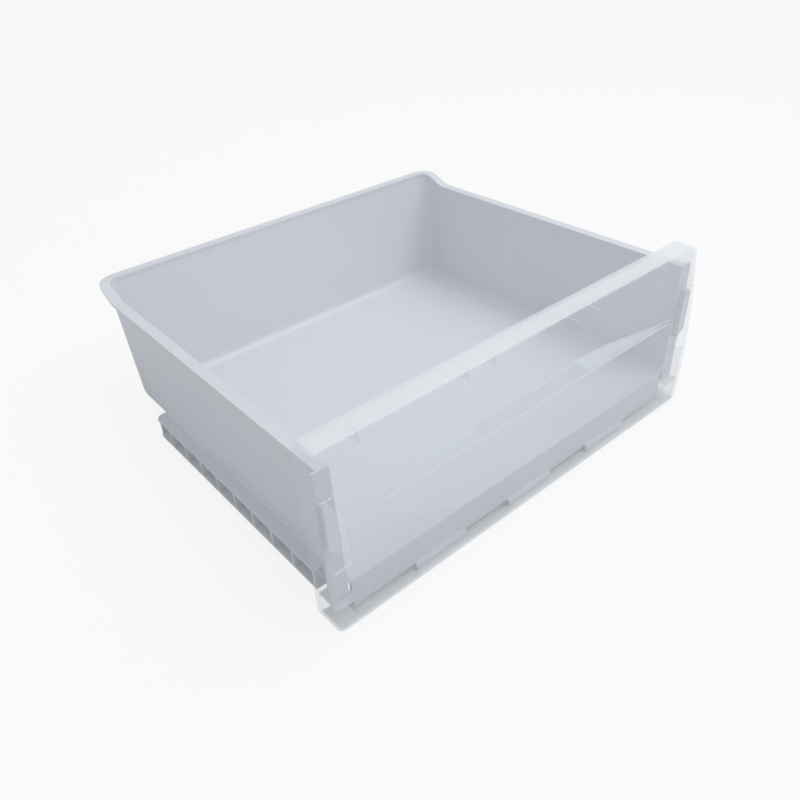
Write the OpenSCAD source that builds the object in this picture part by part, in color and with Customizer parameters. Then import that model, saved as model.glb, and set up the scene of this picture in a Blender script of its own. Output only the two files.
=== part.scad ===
// Freezer drawer. A white moulded tub, open at the top and at the front, runs on two
// ribbed side rails. A clear bowed panel clips over its front frame and carries a scooped grip.
// Origin: middle of the width and depth, at the foot of the panel. X is the width, Y runs from
// the front to the back, Z is up.

/* [Overall] */
// Width over the ends of the front panel
drawer_w = 455; // [420:1:500]
// Depth from the foremost point of the bowed front to the back of the rim
drawer_d = 390; // [350:1:440]

/* [Tub] */
// Height of the inside floor above the foot of the panel
floor_z = 37.5; // [34:0.5:44]
// Height of the side rims above the foot of the panel
side_rim_z = 158; // [130:1:160]
// Height of the back rim above the foot of the panel
back_rim_z = 169; // [162:1:185]
// Wall thickness of the tub
wall_t = 2.5; // [2:0.1:3.5]
// Thickness of the floor
floor_t = 3; // [2.5:0.1:4]
// How far each side wall leans in from the rim to the floor
side_draft = 2.5; // [1:0.1:4]
// How far the back wall leans in from the rim to the floor
back_draft = 9; // [5:0.5:14]
// Outside radius of the upright back corners
corner_r = 14; // [10:1:22]
// Outside radius between the walls and the floor
floor_r = 12; // [8:1:16]

/* [Rim] */
// Distance of each side rim inside the end of the panel
rim_setback = 7; // [6:0.5:12]
// Width of the rolled rim, wall included
rim_w = 10; // [8:0.5:11]
// Thickness of the rim
rim_t = 2.6; // [2:0.1:4]
// Length of the slope that lifts each side rim to the back rim
rim_slope_l = 36; // [25:1:50]
// Level stretch of rim between that slope and the back
rim_level_l = 9; // [8:1:16]

/* [Runners] */
// Height of the runner's foot above the foot of the panel
rail_z = 27; // [22:0.5:30]
// Height of the runner
rail_h = 21; // [18:0.5:24]
// How far the runner stands out from the wall
rail_w = 14; // [10:0.5:14.5]
// Length of the runner
rail_l = 276; // [200:1:290]
// Thickness of the runner's flanges and back
rail_t = 2.2; // [1.8:0.1:3]
// Thickness of the ribs between the pockets
rail_rib_t = 2.4; // [1.8:0.1:4]
// Spacing of the pockets
pocket_pitch = 30.4; // [20:0.1:45]
// Radius of the hollow between the wall and the runner's ledge
cove_r = 4; // [2:0.5:6]
// Radius of the runner's corner at its back end
rail_end_r = 8; // [4:0.5:9]

/* [Front frame of the tub] */
// Distance of the frame behind the foremost point of the front
frame_set = 10.8; // [10.5:0.1:13]
// Thickness of the frame
frame_t = 2.5; // [2:0.1:3.5]
// Height of the lip's lower edge above the foot of the panel
lip_z = 9; // [8:0.5:14]
// Width of each catch under the lip
catch_w = 58; // [40:1:70]
// Spacing of the catches
catch_pitch = 112; // [100:1:125]
// How far the catches reach forward
catch_reach = 3; // [2:0.1:5]
// Height of the lower end of each side latch
latch_z = 81; // [76:1:90]
// Height of each side latch
latch_h = 50; // [40:1:52]
// Width of each side latch
latch_w = 10; // [8:0.5:11]
// Distance of each side latch inside the end of the panel
latch_inset = 4; // [3.5:0.1:5]
// How far the side latches reach forward
latch_reach = 6; // [4:0.1:6.5]

/* [Front panel] */
// Height of the panel
panel_h = 176; // [174:1:200]
// Wall thickness of the panel
panel_t = 2.2; // [1.8:0.1:2.6]
// Depth of the panel over its bow and its returns
return_d = 29.5; // [26:0.5:36]
// Radius of the bow of the face
face_r = 876; // [700:1:1200]
// Height of the foremost point of the face
face_peak_z = 59; // [50:1:75]
// Radius of the panel's corners seen from the front
panel_corner_r = 8; // [6:0.5:12]
// Radius of the edges between the face and the returns
panel_edge_r = 2.6; // [2.4:0.1:3.5]
// Drop of the lip at the back of the top return
top_lip = 4; // [3:0.5:6]

/* [Grip] */
// Height of the level top of the grip
grip_z = 108; // [100:1:115]
// Width of the grip from tip to tip
grip_w = 400; // [380:1:408]
// Width of its full-depth middle
grip_flat_w = 136; // [110:1:160]
// Depth of the grip behind the face
grip_depth = 18.5; // [14:0.5:20]
// Height of the grip in the middle
grip_h = 55; // [45:1:60]
// Width of the hand slot in the top of the grip
slot_w = 133; // [100:1:150]

/* [Corner windows] */
// Height of the lower edge of each corner window
window_z = 70; // [66:1:74]
// Height of each corner window
window_h = 66; // [62:1:70]
// Width of each corner window
window_w = 16.5; // [14:0.5:17]
// Width of the post that is left outside each window
post_w = 3.5; // [3:0.1:5]
// Length of the slanting upper inner corner of each window, along its height
window_slant = 25; // [15:1:30]

/* [Panel ribs] */
// Thickness of the small ribs
panel_rib_t = 1.6; // [1.2:0.1:2.2]
// Drop of the short ribs under the top return
top_rib_h = 11; // [8:0.5:14]
// Distance of each pair of short ribs from the middle
top_rib_x = 64; // [50:1:80]
// Spacing of the two ribs of a pair
top_rib_gap = 29; // [20:1:34]
// Distance of each outer short rib from the middle
outer_rib_x = 184; // [160:1:195]
// Width of the ribbed box in each lower corner
foot_box_w = 22; // [18:1:30]
// Height of the ribbed box in each lower corner
foot_box_h = 25; // [20:1:30]
// Depth of the sunk part of each end return
end_step = 0.8; // [0.5:0.1:1]
// Height of the lower edge of that sunk part
end_step_z = 60; // [52:1:66]
// Length of that sunk part at its front
end_step_h = 76; // [70:1:84]
// Drop of its upper edge towards the back
end_step_drop = 8; // [4:0.5:12]

/* [Hidden] */
clearance = 0.3;
cut = 1;
// the drawer's outer planes
front_y = -drawer_d / 2;
back_y = drawer_d / 2;
panel_x = drawer_w / 2;
rim_x = panel_x - rim_setback;
// outside of the tub's walls, at the rim and at the floor
wall_x_top = rim_x - rim_w + wall_t;
wall_x_low = wall_x_top - side_draft;
wall_y_top = back_y - rim_w + wall_t;
wall_y_low = wall_y_top - back_draft;
under_z = floor_z - floor_t;
frame_y = front_y + frame_set;
rail_y = front_y + return_d + 5 * clearance;
rail_x = wall_x_low + rail_w;
// inside of the panel's end, back of its returns and the ribbed boxes in its lower corners
inner_x = panel_x - panel_t;
return_y = front_y + return_d;
foot_box_x = panel_x - foot_box_w;
foot_box_z = panel_t + foot_box_h;
grip_tip = grip_w / 2;
grip_flat = grip_flat_w / 2;

// distance of the face's outer surface along Y at height z
function face_y(z) = front_y + face_r - sqrt(pow(face_r, 2) - pow(z - face_peak_z, 2));
// 0 in the full-depth middle of the grip, 1 at its tips
function grip_t(x) = max(abs(x) - grip_flat, 0) / (grip_tip - grip_flat);
// share of the grip's depth and height that is left at a place along the width
function grip_fall(x) = max(1 - pow(grip_t(x), 2), 0.01);
function grip_d(x) = grip_depth * pow(grip_fall(x), 1.75);
function grip_low(x) = grip_z - grip_h * pow(grip_fall(x), 1.3);
// smooth step from 0 to 1
function ease(s) = s * s * (3 - 2 * s);
// height of the rim at a distance y along the depth
function rim_z(y) =
    let (s = (y - (back_y - rim_level_l - rim_slope_l)) / rim_slope_l)
    side_rim_z + (back_rim_z - side_rim_z) * ease(min(max(s, 0), 1));
// points of an arc
function arc(x, y, r, from, to, steps = 8) =
    [for (i = [0:steps]) let (a = from + (to - from) * i / steps) [x + r * cos(a), y + r * sin(a)]];

// carries a section, drawn as Y and Z, along X
module along_x(length) rotate([90, 0, 90]) linear_extrude(length, center = true) children();

// carries a section, drawn as X and Z, from y0 to y1
module along_y(y0, y1) translate([0, y1, 0]) rotate([90, 0, 0]) linear_extrude(y1 - y0) children();

// both ends of the drawer
module both_ends() {
    children();
    mirror([1, 0, 0]) children();
}

// plan of a tub section: straight sides, open towards the front, round back corners
module plan(half_w, back, r) {
    polygon(concat(
        [[-half_w, frame_y], [half_w, frame_y]],
        arc(half_w - r, back - r, r, 0, 90),
        arc(r - half_w, back - r, r, 90, 180)
    ));
}

// solid with the tub's drafted sides and rounded floor edge, inset by g, from z0 up
module tub_form(g, z0, top_z, reach = 0) {
    r = floor_r - g;
    steps = 4;
    levels = concat(
        [for (i = [0:steps]) let (a = 90 * i / steps) [z0 + r * (1 - cos(a)), g + r * (1 - sin(a))]],
        [[top_z, g]]
    );
    hull() {
        for (level = levels) {
            s = (level[0] - under_z) / (side_rim_z - under_z);
            translate([0, -reach, level[0]]) linear_extrude(0.01)
                plan(wall_x_low + side_draft * s - level[1],
                     wall_y_low + back_draft * s - level[1] + reach, corner_r - g);
        }
    }
}

// everything from the rim line down to a depth below it
module under_rim_line(depth) {
    steps = 18;
    y1 = back_y - rim_level_l;
    ys = concat([frame_y - cut], [for (i = [0:steps]) y1 - rim_slope_l * (1 - i / steps)], [back_y + cut]);
    along_x(drawer_w)
        polygon(concat(
            [for (y = ys) [y, rim_z(y)]],
            [for (i = [len(ys) - 1:-1:0]) [ys[i], rim_z(ys[i]) - depth]]
        ));
}

// walls and floor
module tub_shell() {
    intersection() {
        difference() {
            tub_form(0, under_z, back_rim_z + cut);
            tub_form(wall_t, floor_z, back_rim_z + 2 * cut, 2 * wall_t);
        }
        under_rim_line(back_rim_z);
    }
}

// rolled rim that follows the slopes to the back
module rim() {
    intersection() {
        linear_extrude(back_rim_z + cut) difference() {
            plan(rim_x, back_y, corner_r + rim_w - wall_t);
            translate([0, -cut, 0]) plan(rim_x - rim_w, back_y - rim_w + cut, corner_r - wall_t);
        }
        under_rim_line(rim_t);
    }
}

// ladder-ribbed runner on the +X side
module rail() {
    top = rail_z + rail_h;
    back = rail_y + rail_l;
    count = floor((rail_l - rail_rib_t) / pocket_pitch);
    margin = (rail_l - count * pocket_pitch) / 2;
    difference() {
        intersection() {
            along_y(rail_y, back)
                polygon(concat(
                    [[wall_x_low - wall_t, rail_z], [rail_x, rail_z], [rail_x, top]],
                    arc(wall_x_low + cove_r, top + cove_r, cove_r, 270, 180, 6),
                    [[wall_x_low - wall_t, top + cove_r]]
                ));
            linear_extrude(2 * top)
                polygon(concat(
                    [[0, rail_y - cut], [rail_x + cut, rail_y - cut]],
                    arc(rail_x - rail_end_r, back - rail_end_r, rail_end_r, 0, 90, 6),
                    [[0, back]]
                ));
        }
        for (i = [0:count - 1])
            translate([wall_x_low + rail_t, rail_y + margin + i * pocket_pitch + rail_rib_t / 2,
                       rail_z + rail_t])
                cube([rail_w, pocket_pitch - rail_rib_t, rail_h - 2 * rail_t]);
        tub_form(wall_t, floor_z, back_rim_z, 2 * wall_t);
    }
}

// flange round the tub's open front: an upright on each side and the lip under the floor
module front_frame() {
    post_z = foot_box_z + 2 * clearance;
    lip_w = 2 * (foot_box_x - clearance);
    both_ends()
        translate([wall_x_low - wall_t, frame_y, post_z])
            cube([inner_x - clearance - wall_x_low + wall_t, frame_t, side_rim_z - post_z]);
    translate([-lip_w / 2, frame_y, lip_z]) cube([lip_w, frame_t, floor_z - lip_z]);
}

// catch under the lip, sloped at its nose
module front_catch() {
    nose = frame_y - catch_reach;
    foot = panel_t + clearance;
    top = lip_z + frame_t;
    along_x(catch_w)
        polygon([
            [frame_y + frame_t, top], [frame_y, top], [nose, lip_z], [nose, foot + frame_t / 2],
            [frame_y - catch_reach / 2, foot], [frame_y + frame_t, foot]
        ]);
}

// tongue at the +X side that shows in the corner window
module side_latch() {
    x1 = panel_x - latch_inset;
    x0 = x1 - latch_w;
    top = latch_z + latch_h;
    along_y(frame_y - latch_reach, frame_y + frame_t)
        polygon([
            [x0, latch_z], [x1, latch_z + 0.7 * latch_w], [x1, top],
            [x0 + 0.45 * latch_w, top], [x0, top - latch_w]
        ]);
}

module tub() {
    color("white") {
        tub_shell();
        rim();
        both_ends() rail();
        difference() {
            front_frame();
            tub_form(wall_t, floor_z, back_rim_z, 2 * wall_t);
        }
        for (i = [-1:1]) translate([i * catch_pitch, 0, 0]) front_catch();
        both_ends() side_latch();
    }
}

// convex block of the panel's form, inset by g, from the face back to a plane
module panel_form(g, back) {
    r = max(panel_edge_r - g, 0.4);
    bend = panel_corner_r - panel_edge_r;
    side = panel_x - g - r - bend;
    low = g + r + bend;
    high = panel_h - g - r - bend;
    ends = concat(
        arc(side, low, bend, 270, 360, 3),
        [for (i = [1:3]) [side + bend, low + (face_peak_z - low) * i / 3]],
        [for (i = [1:4]) [side + bend, face_peak_z + (high - face_peak_z) * i / 5]],
        arc(side, high, bend, 0, 90, 3)
    );
    hull() {
        for (e = ends, m = [-1, 1])
            translate([m * e[0], face_y(e[1]) + g + r, e[1]]) sphere(r, $fn = 12);
        along_y(back - 0.01, back)
            polygon(concat(
                arc(side, low, bend + r, 270, 360, 4), arc(side, high, bend + r, 0, 90, 4),
                arc(-side, high, bend + r, 90, 180, 4), arc(-side, low, bend + r, 180, 270, 4)
            ));
    }
}

// body of the grip hollow, open to the front; g and rise make it grow backwards and upwards
module grip_form(g, rise) {
    nx = 40;
    nz = 8;
    xs = [for (i = [0:nx]) grip_tip * (2 * i / nx - 1)];
    function row(x, s) = grip_low(x) - rise + (grip_z - grip_low(x) + 2 * rise) * s;
    front_pts = [for (x = xs, j = [0:nz]) [x, front_y - cut, row(x, j / nz)]];
    back_pts = [for (x = xs, j = [0:nz])
        let (s = j / nz, z = row(x, s)) [x, face_y(z) + g + grip_d(x) * sin(90 * s), z]];
    n = (nx + 1) * (nz + 1);
    function at(i, j) = i * (nz + 1) + j;
    // two triangles for each cell between the corners a, b, c and d
    function cell(a, b, c, d) = [[a, b, c], [a, c, d]];
    polyhedron(concat(front_pts, back_pts), concat(
        [for (i = [0:nx - 1], j = [0:nz - 1])
            each cell(at(i, j), at(i, j + 1), at(i + 1, j + 1), at(i + 1, j))],
        [for (i = [0:nx - 1], j = [0:nz - 1])
            each cell(n + at(i, j), n + at(i + 1, j), n + at(i + 1, j + 1), n + at(i, j + 1))],
        [for (i = [0:nx - 1]) each cell(at(i, 0), at(i + 1, 0), n + at(i + 1, 0), n + at(i, 0))],
        [for (i = [0:nx - 1]) each cell(at(i + 1, nz), at(i, nz), n + at(i, nz), n + at(i + 1, nz))],
        [for (j = [0:nz - 1]) each cell(at(0, j + 1), at(0, j), n + at(0, j), n + at(0, j + 1))],
        [for (j = [0:nz - 1]) each cell(at(nx, j), at(nx, j + 1), n + at(nx, j + 1), n + at(nx, j))]
    ));
}

// window beside the +X end that the side latch shows in
module corner_window() {
    x1 = panel_x - post_w;
    x0 = x1 - window_w;
    top = window_z + window_h;
    along_y(front_y - cut, front_y + frame_set / 2)
        polygon([
            [x1, window_z - panel_t], [x1, top], [x0 + window_w / 2, top],
            [x0, top - window_slant], [x0, window_z]
        ]);
}

// small ribs inside the panel
module panel_ribs() {
    depth = return_d - panel_t;
    low = panel_h - panel_t / 2 - top_rib_h;
    both_ends() {
        for (x = [top_rib_x - top_rib_gap / 2, top_rib_x + top_rib_gap / 2, outer_rib_x])
            translate([x, front_y, low]) cube([panel_rib_t, depth - top_lip, top_rib_h]);
        translate([foot_box_x, front_y, 0]) cube([panel_rib_t, depth, foot_box_z]);
        translate([foot_box_x, front_y, foot_box_z - panel_rib_t])
            cube([foot_box_w, depth, panel_rib_t]);
    }
    translate([-panel_x, return_y - panel_t, panel_h - panel_t - top_lip])
        cube([drawer_w, panel_t, top_lip + panel_t]);
}

// sunk part of the +X end return
module end_recess() {
    top = end_step_z + end_step_h;
    translate([panel_x - end_step / 2 + cut / 2, 0, 0])
        along_x(end_step + cut)
            polygon([
                [frame_y, end_step_z], [return_y + cut, end_step_z],
                [return_y + cut, top - end_step_drop], [frame_y, top]
            ]);
}

module front_panel() {
    color([0.86, 0.9, 0.93, 0.4]) difference() {
        union() {
            difference() {
                panel_form(0, return_y);
                panel_form(panel_t, return_y + cut);
            }
            intersection() {
                union() {
                    panel_ribs();
                    grip_form(panel_t - clearance, panel_t);
                }
                panel_form(panel_t / 2, return_y);
            }
        }
        grip_form(clearance / 2, 0);
        translate([-slot_w / 2, face_y(grip_z) + panel_t, grip_z - cut])
            cube([slot_w, return_d, panel_t + 3 * cut]);
        both_ends() {
            corner_window();
            end_recess();
        }
    }
}

tub();
front_panel();
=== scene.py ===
import math

import bpy
import numpy as np
from mathutils import Matrix, Vector

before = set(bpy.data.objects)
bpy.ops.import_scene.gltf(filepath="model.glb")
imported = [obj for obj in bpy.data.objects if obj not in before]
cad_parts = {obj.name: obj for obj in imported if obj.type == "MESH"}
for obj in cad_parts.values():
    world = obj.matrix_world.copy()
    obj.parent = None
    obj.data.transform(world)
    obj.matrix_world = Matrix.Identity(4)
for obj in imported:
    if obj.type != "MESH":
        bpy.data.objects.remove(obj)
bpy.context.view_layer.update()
scene = bpy.context.scene
scene.view_settings.view_transform = "Standard"


# ---- Camera and studio
# The drawer stands on the foot of its front panel and on the back ends of its runners, so it
# leans back by some degrees. The frame keeps the drawer level, so the white table is tilted.
# Soft light comes from all round, and a large soft box hangs above the front right.
def camera_axes(azimuth, elevation, roll):
    """Right, up and back of a camera that looks at the drawer from an azimuth and elevation,
    turned about its line of sight by roll, all in degrees."""
    az, el, ro = (math.radians(v) for v in (azimuth, elevation, roll))
    back = Vector((math.sin(az) * math.cos(el), -math.cos(az) * math.cos(el), math.sin(el)))
    right = Vector((0, 0, 1)).cross(back).normalized()
    up = back.cross(right)
    return (math.cos(ro) * right - math.sin(ro) * up, math.sin(ro) * right + math.cos(ro) * up, back)


camera_azimuth, camera_elevation, camera_roll = -38.541, 35.335, 3.567
camera_place = Vector((-0.4084, -0.5137, 0.4783))

camera = bpy.data.objects.new("camera", bpy.data.cameras.new("camera"))
scene.collection.objects.link(camera)
axes = camera_axes(camera_azimuth, camera_elevation, camera_roll)
place = Matrix([v.to_4d() for v in axes] + [(0, 0, 0, 1)]).transposed()
for column in range(3):
    place[3][column] = 0
place.translation = camera_place
camera.matrix_world = place
camera.data.sensor_width = 36
camera.data.lens = 33.27
camera.data.clip_start = 0.01
scene.camera = camera


class Value:
    """A shader socket that takes part in sums, products and powers: each operator adds the Math
    node of the same name, and a number stands for itself."""

    def __init__(self, tree, socket):
        self.tree, self.socket = tree, socket

    def math(self, operation, *others):
        node = self.tree.nodes.new("ShaderNodeMath")
        node.operation = operation
        for slot, v in zip(node.inputs, others):
            feed(self.tree, slot, v)
        return Value(self.tree, node.outputs[0])

    def __add__(self, other):
        return self.math("ADD", self, other)

    def __mul__(self, other):
        return self.math("MULTIPLY", self, other)

    def __pow__(self, other):
        return self.math("POWER", self, other)

    def clamped(self):
        return self.math("MINIMUM", self.math("MAXIMUM", self, 0.0), 1.0)

    __radd__ = __add__
    __rmul__ = __mul__


def feed(tree, slot, v):
    """Links a Value or a socket to an input, or sets the input to a plain value."""
    if isinstance(v, Value):
        v = v.socket
    if isinstance(v, bpy.types.NodeSocket):
        tree.links.new(v, slot)
    else:
        slot.default_value = v


class Finish:
    """The shader of a material or of the world, under construction. node() adds a node of any
    type: its settings first, then the values or links of its sockets, by name or by number."""

    def __init__(self, owner, output="ShaderNodeOutputMaterial"):
        owner.use_nodes = True
        self.owner, self.tree = owner, owner.node_tree
        self.tree.nodes.clear()
        self.output = self.tree.nodes.new(output)

    def node(self, kind, settings=None, sockets=None):
        node = self.tree.nodes.new(kind)
        for key, v in (settings or {}).items():
            setattr(node, key, v)
        for key, v in (sockets or {}).items():
            feed(self.tree, node.inputs[key], v)
        return node

    def value(self, node, name=0):
        return Value(self.tree, node.outputs[name])

    def mixed(self, factor, first, second):
        """The mix of two shaders: the first at factor 0, the second at factor 1."""
        return self.node("ShaderNodeMixShader", sockets={
            0: factor, 1: first.outputs[0], 2: second.outputs[0]})

    def surface(self, node):
        self.tree.links.new(node.outputs[0], self.output.inputs["Surface"])


runner_foot_z = 0.027
foot_to_runner_end = 0.2775
panel_foot = Vector((0, -0.1655, 0))
table_reach = 3.0

turn = Matrix.Rotation(math.atan2(runner_foot_z, foot_to_runner_end), 4, "X")
corners = [Vector((x, y, 0)) * table_reach for x, y in ((-1, -1), (1, -1), (1, 1), (-1, 1))]
top = bpy.data.meshes.new("table")
top.from_pydata([panel_foot + turn @ corner for corner in corners], [], [(0, 1, 2, 3)])
table = bpy.data.objects.new("table", top)
scene.collection.objects.link(table)

white_table = Finish(bpy.data.materials.new("white_table"))
rays = white_table.node("ShaderNodeLightPath")
seen = white_table.value(rays, "Is Camera Ray") + white_table.value(rays, "Is Transmission Ray")
matt = white_table.node("ShaderNodeBsdfDiffuse", sockets={"Color": (0.8, 0.8, 0.8, 1)})
glow = white_table.node("ShaderNodeEmission", sockets={"Color": (1, 1, 1, 1), "Strength": 1.0})
white_table.surface(white_table.mixed(seen.clamped() * 0.86, matt, glow))
table.data.materials.append(white_table.owner)

scene.world = bpy.data.worlds.new("studio")
studio = Finish(scene.world, "ShaderNodeOutputWorld")
rays = studio.node("ShaderNodeLightPath")
seen = studio.value(rays, "Is Camera Ray") + studio.value(rays, "Is Transmission Ray")
soft = studio.node("ShaderNodeBackground", sockets={"Color": (0.93, 0.96, 1.0, 1), "Strength": 0.62})
white = studio.node("ShaderNodeBackground", sockets={"Color": (1, 1, 1, 1)})
studio.surface(studio.mixed(seen.clamped(), soft, white))


def lamp(name, power, size, spot, target):
    """A square soft box at spot that faces target."""
    data = bpy.data.lights.new(name, "AREA")
    data.shape = "SQUARE"
    data.size = size
    data.energy = power
    box = bpy.data.objects.new(name, data)
    scene.collection.objects.link(box)
    box.location = spot
    box.rotation_euler = (Vector(target) - Vector(spot)).to_track_quat("-Z", "Y").to_euler()


lamp("key", power=10, size=1.2, spot=(0.5, -0.5, 1.5), target=(0, 0, 0.05))


# ---- Tub
# One white polystyrene moulding: floor, walls, rolled rim, ribbed runners and front frame.
# Its faces come from a satin mould, with a faint orange-peel ripple and no parting lines.
crease_degrees = 25


def soften(obj, crease):
    """Joins the loose triangles of a carried-over solid and shades it smooth up to a crease angle
    in degrees, without moving a point."""
    obj.data.polygons.foreach_set("use_smooth", np.ones(len(obj.data.polygons), bool))
    weld = obj.modifiers.new("weld", "WELD")
    weld.merge_threshold = 0.00001
    split = obj.modifiers.new("crease", "EDGE_SPLIT")
    split.split_angle = math.radians(crease)
    split.use_edge_sharp = False


def finish_with(obj, material):
    """Puts one material in every slot of an object."""
    if not obj.data.materials:
        obj.data.materials.append(material)
    for i in range(len(obj.data.materials)):
        obj.data.materials[i] = material


white_moulding = Finish(bpy.data.materials.new("white_moulding"))
where = white_moulding.node("ShaderNodeTexCoord").outputs["Object"]
ripple = white_moulding.node("ShaderNodeTexNoise", sockets={"Vector": where, "Scale": 450.0, "Detail": 2.0})
patches = white_moulding.node("ShaderNodeTexNoise", sockets={"Vector": where, "Scale": 9.0, "Detail": 1.0})
peel = white_moulding.node("ShaderNodeBump", sockets={
    "Strength": 0.05, "Distance": 0.0002, "Height": white_moulding.value(ripple)})
tint = white_moulding.node("ShaderNodeMix", {"data_type": "RGBA"}, {
    "Factor": white_moulding.value(patches), 6: (0.74, 0.755, 0.79, 1), 7: (0.77, 0.78, 0.81, 1)})
white_moulding.surface(white_moulding.node("ShaderNodeBsdfPrincipled", sockets={
    "Base Color": tint.outputs[2], "IOR": 1.58,
    "Roughness": 0.32 + 0.1 * white_moulding.value(patches), "Normal": peel.outputs["Normal"]}))

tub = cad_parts["tub"]
soften(tub, crease_degrees)
finish_with(tub, white_moulding.owner)


# ---- Front panel
# One clear polystyrene moulding, clipped over the tub's front frame. Its wall lets most of what is behind
# it through; the cut edges are brighter, and the faces that look up carry a painted highlight: they are
# made whiter and less clear, in place of the light that falls on them from above.
clear_moulding = Finish(bpy.data.materials.new("clear_moulding"))
shape = clear_moulding.node("ShaderNodeNewGeometry")
normal = clear_moulding.node("ShaderNodeSeparateXYZ", sockets={"Vector": shape.outputs["Normal"]})
facing = clear_moulding.node("ShaderNodeLayerWeight", sockets={"Blend": 0.35})
# Painted highlight: the more a face looks up, the more of the whitish gloss shader it gets, standing in for
# light from above.
painted_top_light = clear_moulding.value(normal, "Z").clamped() ** 3.0
# The mix factor is the plastic's own haze, plus more gloss at glancing angles, plus the painted top
# highlight.
veil_and_painted_top_light = 0.10 + 0.45 * painted_top_light + 0.5 * clear_moulding.value(facing, "Facing") ** 3.0
gloss = clear_moulding.node("ShaderNodeBsdfPrincipled", sockets={
    "Base Color": (0.88, 0.9, 0.92, 1), "Roughness": 0.08, "IOR": 1.58})
through = clear_moulding.node("ShaderNodeBsdfTransparent", sockets={"Color": (0.985, 0.99, 0.995, 1)})
clear_moulding.surface(clear_moulding.mixed(veil_and_painted_top_light.clamped(), through, gloss))

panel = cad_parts["front_panel"]
soften(panel, crease_degrees)
finish_with(panel, clear_moulding.owner)
